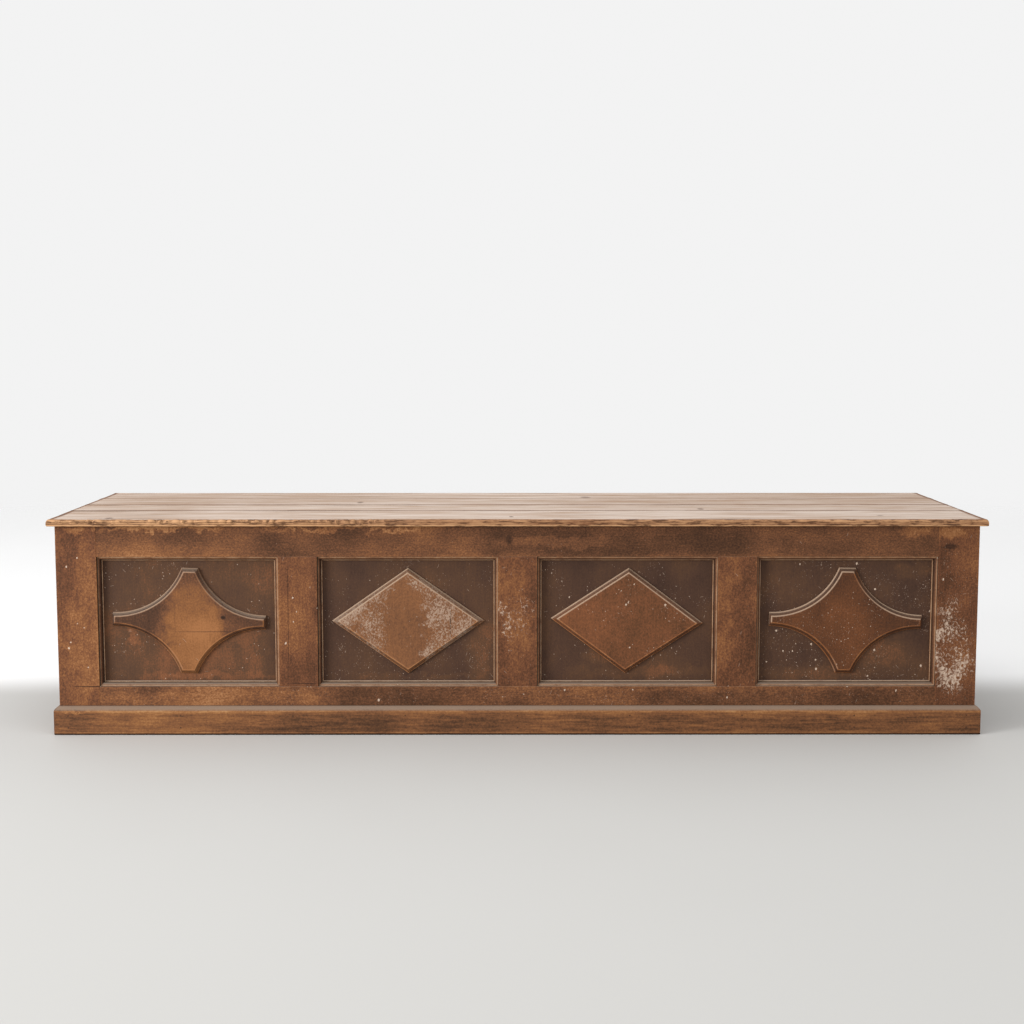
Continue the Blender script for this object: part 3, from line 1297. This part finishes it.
def bosses() -> list[Boss]:
    """The four bosses, each with the wear of its own face.

    Returns:
        The bosses, from the left.
    """
    x1, x2, _, x4 = (sum(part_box(f"front_panel_{k}")[s].x for s in (0, 1)) / 2 for k in range(1, 5))
    z = MIDDLE_HEIGHT
    on_boss = partial(on_face, Axis.Y, BOSS_FACE, 0.1)
    return [
        Boss(1, "boss_star_left", Outline.STAR, 1.4, StainedWood(
            "stained_softwood_left_star", Axis.Z, ("#2e1d13", "#482f20", "#64402a", "#7d512f", "#93623c"),
            rub=-0.15, weights=(0.25, 0.50, 0.1, 0.6), specks=0.04, dust=0.95,
            patches=on_boss((x1 + 0.005, z - 0.035, 0.105, 0.19, 0.50),
                            (x1 + 0.09, z - 0.03, 0.12, 0.05, 0.14)),
            lines=on_boss((x1 + 0.11, z + 0.012, 0.008, 0.007, -0.5),
                          (x1 + 0.05, z - 0.034, 0.10, 0.0014, -0.5),
                          (x1 - 0.045, z + 0.01, 0.0014, 0.06, -0.16))), chalked=0.4),
        Boss(2, "boss_lozenge_left", Outline.LOZENGE, 0.0, StainedWood(
            "stained_softwood_left_lozenge", Axis.Z, ("#362216", "#533726", "#6e482e", "#815535", "#9c6d48"),
            rub=0.13, weights=(0.2, 0.45, 0.1, 0.6), flaking=0.575, dust=0.4, flake="#9f8673", specks=0.08,
            crumb=5.5 * MM, lines=on_boss((x2 + 0.137, z, 0.0014, 0.05, -0.6)),
            flakes=on_boss((x2 - 0.01, z - 0.05, 0.06, 0.20, -0.34))), chalked=1.5),
        Boss(3, "boss_lozenge_right", Outline.LOZENGE, 1.9, StainedWood(
            "stained_softwood_right_lozenge", Axis.Z, ("#372113", "#573721", "#6f442a", "#815030", "#9f6c45"),
            rub=0.0, weights=(0.3, 0.5, 0.1, 0.65), flaking=0.30, specks=0.24, dust=0.4), chalked=1.7),
        Boss(4, "boss_star_right", Outline.STAR, 1.2, StainedWood(
            "stained_softwood_right_star", Axis.Z, ("#2c190f", "#452a1a", "#5b3720", "#6f4327", "#8c5b35"),
            rub=-0.04, weights=(0.3, 0.5, 0.1, 0.65), flaking=0.24, specks=0.15, dust=0.4,
            patches=on_boss((x4, z - 0.02, 0.12, 0.10, 0.12))), chalked=1.5),
    ]


# ---- Plinth ----------------------------------------------------------------------------------------
@dataclass
class Plinth:
    """Three boards round the foot, mitred at the front corners, with a rounded upper edge.

    Attributes:
        round: Radius of the upper edge.
        foot: Radius that the lower arris is worn to.
        step: Distance between rings.
    """

    round: float = 24 * MM
    foot: float = 4 * MM
    step: float = 12 * MM

    def make(self) -> None:
        """Build and dress the plinth."""
        tones = ("#2d1b13", "#4e3320", "#6e472c", "#875a35", "#a5794e")
        along = StainedWood("stained_softwood_plinth", Axis.X, tones, rub=0.0, streak=7 * MM,
                            weights=(0.26, 0.42, 0.34, 0.30), dust=0.9, flaking=0.2, specks=0.04,
                            patches=on_face(
                                Axis.Y, -0.45, 0.05,
                                (-1.15, 0.05, 0.38, 0.06, 0.11), (-1.42, 0.078, 0.05, 0.006, 0.3),
                                (0.95, 0.07, 0.35, 0.02, 0.14))).material()
        across = StainedWood("stained_softwood_end_plinths", Axis.Y, tones, rub=0.0, streak=7 * MM,
                             weights=(0.26, 0.42, 0.34, 0.30), dust=0.9, flaking=0.2, specks=0.02).material()
        low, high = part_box("plinth_front")
        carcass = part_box("front_stile_left")[0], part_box("front_stile_right")[1]
        thick = carcass[0].y - low.y
        section, wear, dirt = self._section(thick, high.z - low.z)
        out, up = section[None, :, 0], section[None, :, 1]
        share = stations(1.0, self.step / (high.x - low.x), 0.001)[:, None]
        dip = self._dip(share * (high.x - low.x), 5) * (out > thick * 0.5)
        x = carcass[0].x - out + share * (carcass[1].x - carcass[0].x + 2 * out)
        rings = np.stack([x, carcass[0].y - out + dip, low.z + up + 0 * x], -1)
        shape = np.ones_like(x)
        Piece("plinth_front_rounded", [loft(rings, wear=wear * shape, dirt=dirt * shape)],
              ("plinth_front",), "stained_plinth").make(along)
        for side, name in ((-1, "plinth_left"), (1, "plinth_right")):
            low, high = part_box(name)
            edge = carcass[0].x if side < 0 else carcass[1].x
            share = stations(1.0, self.step / (high.y - low.y), 0.002)[:, None]
            y = carcass[0].y - out + share * (high.y - carcass[0].y + out)
            dip = self._dip(share * (high.y - low.y), 8 + side) * (out > thick * 0.5)
            rings = np.stack([edge + side * (out - dip) + 0 * y, y, low.z + up + 0 * y], -1)
            shape = np.ones_like(y)
            Piece(f"{name}_rounded", [loft(rings, wear=wear * shape, dirt=dirt * shape)],
                  (name,), "stained_plinth").make(across)

    @staticmethod
    def _dip(at: np.ndarray, seed: int) -> np.ndarray:
        """How far kicks and mops have sunk the board's face."""
        return 0.5 * MM * ripple(at, seed, 0.15)

    def _section(self, thick: float, tall: float) -> tuple[np.ndarray, np.ndarray, np.ndarray]:
        """The board's section.

        Args:
            thick: Its thickness.
            tall: Its height.

        Returns:
            Its points as distance out from the carcass and height, and marks for wear and dirt.
        """
        points = [(0.0, 0.0, 0.0, 0.5), (0.0, tall * 0.5, 0.0, 0.0), (0.0, tall, 0.0, 1.0)]
        back = (math.sqrt(2 * self.round ** 2 - thick ** 2) - thick) / 2
        centre = (-back, tall - thick - back)
        first = math.atan2(tall - centre[1], -centre[0])
        last = math.atan2(tall - thick - centre[1], thick - centre[0])
        for k in range(1, 8):
            a = first + (last - first) * k / 8
            points.append((centre[0] + self.round * math.cos(a), centre[1] + self.round * math.sin(a),
                           0.35, 0.0))
        points.append((thick, tall - thick, 1.0, 0.0))
        for share, w in ((0.93, 0.4), (0.8, 0.0), (0.6, 0.0), (0.45, 0.0), (0.3, 0.0), (0.15, 0.0),
                         (0.10, 0.9)):
            points.append((thick, (tall - thick) * share, w, 0.0))
        for turn in (0, 30, 60, 90):
            a = math.radians(turn)
            points.append((thick - self.foot + self.foot * math.cos(a), self.foot - self.foot * math.sin(a),
                           0.0, 0.8 + turn / 450))
        table = np.array(points)
        return table[:, :2], table[None, :, 2], table[None, :, 3]


# ---- Inside ----------------------------------------------------------------------------------------
@dataclass
class Inside:
    """The bare boards and bearers behind the front: partitions, shelves, floor and back rails."""

    sawn: Squared = field(default_factory=lambda: Squared(1.2 * MM, 0.6 * MM, 45 * MM))

    def make(self) -> None:
        """Build and dress the inside."""
        tones = ("#5d432c", "#8a6947", "#a88560", "#bd9c76", "#d2b592")
        plain = {"rub": 0.1, "weights": (0.35, 0.25, 0.5, 0.2), "flaking": 0.1, "specks": 0.01,
                 "dust": 0.5, "rough": 0.72}
        finishes = {axis: StainedWood(f"bare_pine_along_{axis.name.lower()}", axis, tones, **plain).material()
                    for axis in Axis}
        for node, axis in [(f"shelf_{k}", Axis.X) for k in range(1, 5)] + [("floor_boards", Axis.X)]:
            skins = [self.sawn.skin(low, high, axis, 200 + n) for n, (low, high) in enumerate(islands(node))]
            Piece(f"{node}_planed", skins, (node,), "bare_pine").make(finishes[axis])
        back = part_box("back_top_rail")
        for k in range(1, 4):
            node = f"partition_{k}"
            low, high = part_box(node)
            notch = back[0].z
            lower = self.sawn.skin(low, Vector((high.x, high.y, notch)), Axis.Y, 230 + k)
            upper = self.sawn.skin(Vector((low.x, low.y, notch)), Vector((high.x, back[0].y, high.z)),
                                   Axis.Y, 240 + k)
            Piece(f"{node}_planed", [lower, upper], (node,), "bare_pine").make(finishes[Axis.Y])
        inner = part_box("end_left_back_stile")[1].x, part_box("end_right_back_stile")[0].x
        for node in ("back_top_rail", "back_bottom_rail"):
            low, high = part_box(node)
            low.x, high.x = inner
            Piece(f"{node}_planed", [self.sawn.skin(low, high, Axis.X, 250)], (node,),
                  "bare_pine").make(finishes[Axis.X])
        for node, axis in [(f"top_bearer_{k}", Axis.Y) for k in range(1, 5)] + [
                ("floor_bearers", Axis.Y), ("shelf_cleats", Axis.Y), ("glue_blocks", Axis.Z)]:
            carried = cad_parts[node]
            carried.data.materials.clear()
            carried.data.materials.append(finishes[axis])
            log.info("%s: carried over", node)


# ---- Fixings ---------------------------------------------------------------------------------------
@dataclass
class Fixing:
    """Nails, screws or pegs of one kind, one at each solid of a CAD node.

    Attributes:
        node: The CAD node.
        name: The piece's name.
        slot: The record's material slot.
        sides: Sides of the shank.
        head: Width of the head against the shank.
        neck: Height of the head against its width.
        slotted: Whether a driver's slot is cut in the head.
    """

    node: str
    name: str
    slot: str
    sides: int
    head: float
    neck: float
    slotted: bool = False

    def make(self, finish: Material) -> None:
        """Grow the fixings from a Geometry Nodes tree and leave a plain mesh.

        Args:
            finish: Their material.
        """
        seats = bpy.data.meshes.new(f"{self.name}_seats")
        boxes = islands(self.node)
        places, turns, sizes = [], [], []
        for low, high in boxes:
            size = high - low
            axis = max(range(3), key=lambda k: size[k])
            width = max(size[k] for k in range(3) if k != axis)
            middle = (low + high) / 2
            outward = self._outward(axis, middle)
            tip = middle.copy()
            tip[axis] = high[axis] if outward > 0 else low[axis]
            places.append(tip)
            ray = Vector([outward if k == axis else 0 for k in range(3)])
            turns.append(ray.to_track_quat("Z", "Y").to_euler())
            sizes.append((width / max(1.0, self.head), size[axis]))
        seats.from_pydata(places, [], [])
        rows = seats.attributes.new("turn", "FLOAT_VECTOR", "POINT")
        rows.data.foreach_set("vector", [v for turn in turns for v in turn])
        rows = seats.attributes.new("length", "FLOAT", "POINT")
        rows.data.foreach_set("value", [s[1] for s in sizes])
        holder = bpy.data.objects.new(f"{self.name}_seats", seats)
        bpy.context.scene.collection.objects.link(holder)
        tree = self._tree()
        modifier = holder.modifiers.new("fixings", "NODES")
        modifier.node_group = tree
        shank = sizes[0][0]
        values = {"Shank width": shank, "Head width": shank * max(1.0, self.head),
                  "Head height": shank * max(1.0, self.head) * self.neck, "Seed": 3, "Finish": finish}
        for item in tree.interface.items_tree:
            if getattr(item, "in_out", "") == "INPUT" and item.name in values:
                modifier[item.identifier] = values[item.name]
        seen = holder.evaluated_get(bpy.context.evaluated_depsgraph_get())
        mesh = bpy.data.meshes.new_from_object(seen)
        mesh.name = self.name
        if not mesh.materials:
            mesh.materials.append(finish)
        bpy.data.objects.remove(holder)
        made = bpy.data.objects.new(self.name, mesh)
        bpy.context.scene.collection.objects.link(made)
        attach(made, BODY)
        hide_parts(self.node)
        log.info("%s: %d fixings, %d faces", self.name, len(boxes), len(mesh.polygons))

    def _outward(self, axis: int, middle: Vector) -> int:
        """Which way the heads face, 1 or -1 along the shank.

        Args:
            axis: The shank's axis.
            middle: The fixing's middle.

        Returns:
            The sign.
        """
        known = {"boss_screws": 1, "top_screws": -1, "back_rail_pegs": 1}
        if self.node in known:
            return known[self.node]
        if self.node == "plinth_nails":
            return -1 if axis == 1 or middle[axis] < 0 else 1
        return self._into_opening(axis, middle)

    @staticmethod
    def _into_opening(axis: int, middle: Vector) -> int:
        """Which way a brad's head faces: into the opening that its moulding goes round."""
        if axis == 2:
            return 1 if middle.z < MIDDLE_HEIGHT else -1
        if axis == 1:
            return 1 if middle.y < 0 else -1
        centres = [sum(corner.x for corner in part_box(f"front_panel_{k}")) / 2 for k in range(1, 5)]
        return 1 if middle.x < min(centres, key=lambda centre: abs(middle.x - centre)) else -1

    def _tree(self) -> Tree:
        """The tree that stands a fixing on each seat, its head flush with the seat.

        Returns:
            The tree, with named inputs for its sizes.
        """
        tree = bpy.data.node_groups.new(f"{self.name}_tree", "GeometryNodeTree")
        tree.interface.new_socket("Geometry", in_out="INPUT", socket_type="NodeSocketGeometry")
        for name in ("Shank width", "Head width", "Head height"):
            tree.interface.new_socket(name, in_out="INPUT", socket_type="NodeSocketFloat")
        tree.interface.new_socket("Seed", in_out="INPUT", socket_type="NodeSocketInt")
        tree.interface.new_socket("Finish", in_out="INPUT", socket_type="NodeSocketMaterial")
        tree.interface.new_socket("Geometry", in_out="OUTPUT", socket_type="NodeSocketGeometry")
        given = add(tree, "NodeGroupInput").node.outputs
        half_shank = add(tree, MATH, MULTIPLY, {0: given["Shank width"], 1: 0.5})
        half_head = add(tree, MATH, MULTIPLY, {0: given["Head width"], 1: 0.5})
        crown = add(tree, MATH, MULTIPLY, {0: half_head, 1: 0.82})
        down = add(tree, MATH, MULTIPLY, {0: given["Head height"], 1: -1.0})
        # A shank of unit length below the head, tapered to its point; each seat stretches it.
        taper = add(tree, MATH, MULTIPLY, {0: half_shank, 1: 0.8})
        shank = add(tree, "GeometryNodeMeshCone", {"fill_type": "NGON"},
                    {"Vertices": self.sides, "Side Segments": 2, "Radius Top": taper,
                     "Radius Bottom": half_shank, "Depth": 0.94}, "Mesh")
        over = add(tree, "ShaderNodeCombineXYZ", {}, {2: -0.01})
        shank = add(tree, "GeometryNodeTransform", {},
                    {"Geometry": shank, "Rotation": (math.pi, 0.0, 0.0), "Translation": over})
        length = add(tree, "GeometryNodeInputNamedAttribute", {"data_type": "FLOAT"}, {"Name": "length"})
        along = add(tree, "ShaderNodeCombineXYZ", {}, {0: 1.0, 1: 1.0, 2: length})
        turn = add(tree, "GeometryNodeInputNamedAttribute", {"data_type": "FLOAT_VECTOR"}, {"Name": "turn"})
        shanks = add(tree, "GeometryNodeInstanceOnPoints", {},
                     {"Points": given["Geometry"], "Instance": shank, "Rotation": turn, "Scale": along})
        skirt = add(tree, "GeometryNodeMeshCone", {"fill_type": "NGON"},
                    {"Vertices": max(8, self.sides * 2), "Side Segments": 1, "Radius Top": crown,
                     "Radius Bottom": half_head if self.head <= 2.2 else half_shank,
                     "Depth": given["Head height"]}, "Mesh")
        low = add(tree, "ShaderNodeCombineXYZ", {}, {2: down})
        head = add(tree, "GeometryNodeTransform", {}, {"Geometry": skirt, "Translation": low})
        if self.slotted:
            wide = add(tree, MATH, MULTIPLY, {0: half_head, 1: 3.0})
            thin = add(tree, MATH, MULTIPLY, {0: half_head, 1: 0.26})
            deep = add(tree, MATH, MULTIPLY, {0: given["Head height"], 1: 0.9})
            size = add(tree, "ShaderNodeCombineXYZ", {}, {0: wide, 1: thin, 2: deep})
            slot = add(tree, "GeometryNodeMeshCube", {}, {"Size": size}, "Mesh")
            head = add(tree, "GeometryNodeMeshBoolean", {"operation": "DIFFERENCE", "solver": "EXACT"},
                       {"Mesh 1": head, "Mesh 2": slot})
        heads = add(tree, "GeometryNodeInstanceOnPoints", {},
                    {"Points": given["Geometry"], "Instance": head, "Rotation": turn})
        if self.slotted:
            spin = add(tree, "FunctionNodeRandomValue", {"data_type": "FLOAT"},
                       {"Min": 0.0, "Max": math.pi, "Seed": given["Seed"]}, 1)
            spun = add(tree, "ShaderNodeCombineXYZ", {}, {2: spin})
            heads = add(tree, "GeometryNodeRotateInstances", {}, {"Instances": heads, "Rotation": spun})
        joined = tree.nodes.new("GeometryNodeJoinGeometry")
        tree.links.new(shanks, joined.inputs[0])
        tree.links.new(heads, joined.inputs[0])
        real = add(tree, "GeometryNodeRealizeInstances", {}, {"Geometry": joined.outputs[0]})
        dressed = add(tree, "GeometryNodeSetMaterial", {}, {"Geometry": real, "Material": given["Finish"]})
        add(tree, "NodeGroupOutput", {}, {"Geometry": dressed})
        return tree


def fixings() -> None:
    """Make every nail, brad, screw and peg."""
    iron = OldIron().material()
    oak = StainedWood("riven_oak_pegs", Axis.Y, ("#4a3421", "#6b4d31", "#86643f", "#9b774f", "#b8946a"),
                      mottle=6 * MM, specks=0.0, flaking=0.1).material()
    Fixing("boss_screws", "boss_wood_screws", "iron", 12, 2.0, 0.33, True).make(iron)
    Fixing("top_screws", "top_wood_screws", "iron", 12, 2.0, 0.33, True).make(iron)
    Fixing("moulding_brads", "moulding_wire_brads", "iron", 8, 1.0, 0.5).make(iron)
    Fixing("plinth_nails", "plinth_cut_nails", "iron", 4, 2.0, 0.25).make(iron)
    Fixing("back_rail_pegs", "back_rail_oak_pegs", "bare_pine", 8, 1.0, 0.1).make(oak)


# ---- Studio ----------------------------------------------------------------------------------------
@dataclass
class Studio:
    """A pale floor, soft light from the upper left and a level camera in front.

    Attributes:
        floor: Colour of the floor before the table.
        far: Colour of the floor behind it.
        sky: Colour of the light all round.
        reach: Radius of the floor.
        lens: The camera's focal length, in millimetres.
        eye: Where the camera is.
        tilt: How far it looks down, in radians.
        turn: How far it is turned about the upright, in radians.
    """

    floor: str = "#c0bfbc"
    far: str = "#f3f3f3"
    sky: str = "#f5f5f5"
    reach: float = 9.0
    lens: float = 56.81
    eye: tuple[float, float, float] = (-0.0312, -5.5527, 1.2718)
    tilt: float = 0.10687
    turn: float = -0.00259

    def make(self) -> None:
        """Make the floor, the lights and the camera."""
        self._floor()
        self._lights()
        self._camera()

    def _floor(self) -> None:
        """A wide disc that pales behind the table and fades out at its rim, so that it has no edge."""
        mesh = bpy.data.meshes.new("studio_floor")
        turns = np.linspace(0, 2 * math.pi, 96, endpoint=False)
        rim = self.reach * np.stack([np.cos(turns), np.sin(turns), 0 * turns], -1)
        mesh.from_pydata(rim.tolist(), [], [tuple(range(len(rim)))])
        made, tree = blank("studio_floor_paint")
        spot = add(tree, "ShaderNodeTexCoord", output="Object")
        back = add(tree, "ShaderNodeSeparateXYZ", {}, {0: spot}, "Y")
        share = add(tree, MAP_RANGE, SMOOTH, {"Value": back, "From Min": 0.12, "From Max": 0.55})
        cloud = add(tree, NOISE, {}, {"Vector": spot, "Scale": 1.6, "Detail": 5.0})
        colour = add(tree, MIX, RGBA, {0: share, 6: linear(self.floor), 7: linear(self.far)}, 2)
        rough = add(tree, MAP_RANGE, {}, {"Value": cloud, "To Min": 0.6, "To Max": 0.9})
        shader = add(tree, "ShaderNodeBsdfPrincipled", {}, {"Base Color": colour, "Roughness": rough})
        away = add(tree, VECTOR_MATH, {"operation": "LENGTH"}, {0: spot}, "Value")
        gone = add(tree, MAP_RANGE, SMOOTH,
                   {"Value": away, "From Min": self.reach * 0.55, "From Max": self.reach * 0.98})
        clear = add(tree, "ShaderNodeBsdfTransparent")
        faded = add(tree, "ShaderNodeMixShader", {}, {0: gone, 1: shader, 2: clear})
        add(tree, "ShaderNodeOutputMaterial", {}, {"Surface": faded})
        mesh.materials.append(made)
        floor = bpy.data.objects.new("studio_floor", mesh)
        bpy.context.scene.collection.objects.link(floor)

    def _lights(self) -> None:
        """Soft light all round, a large lamp at the upper left and a weak one at the right."""
        world = bpy.data.worlds.new("studio_light")
        bpy.context.scene.world = world
        world.use_nodes = True
        back = world.node_tree.nodes["Background"]
        back.inputs["Color"].default_value = linear(self.sky)
        back.inputs["Strength"].default_value = 0.98
        for name, at, size, watts in (("key", (-8.5, -6.2, 2.7), (3.6, 2.8), 900.0),
                                      ("overhead", (-0.8, -1.6, 4.6), (4.0, 2.5), 60.0)):
            lamp = bpy.data.lights.new(f"{name}_softbox", "AREA")
            lamp.shape = "RECTANGLE"
            lamp.size, lamp.size_y = size
            lamp.energy = watts
            holder = bpy.data.objects.new(f"{name}_softbox", lamp)
            holder.location = at
            aim = Vector((0.0, 0.0, 0.4)) - Vector(at)
            holder.rotation_euler = aim.to_track_quat("-Z", "Y").to_euler()
            bpy.context.scene.collection.objects.link(holder)
        bpy.context.scene.view_settings.view_transform = "Standard"

    def _camera(self) -> None:
        """A camera a little above the table, looking straight at its front."""
        camera = bpy.data.cameras.new("front_camera")
        camera.sensor_width = 36.0
        camera.lens = self.lens
        holder = bpy.data.objects.new("front_camera", camera)
        holder.location = self.eye
        holder.rotation_euler = (math.pi / 2 - self.tilt, 0.0, self.turn)
        bpy.context.scene.collection.objects.link(holder)
        bpy.context.scene.camera = holder


def main() -> None:
    """Build the table in order, and note how its size compares with the CAD's."""
    logging.basicConfig(level=logging.INFO, format="%(message)s")
    Studio().make()
    for part in (Top(), Framing(), Panels(), Mouldings(), *bosses(), Plinth(), Inside()):
        log.info("--- %s", type(part).__name__)
        part.make()
    fixings()
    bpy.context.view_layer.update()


if __name__ == "__main__":
    main()
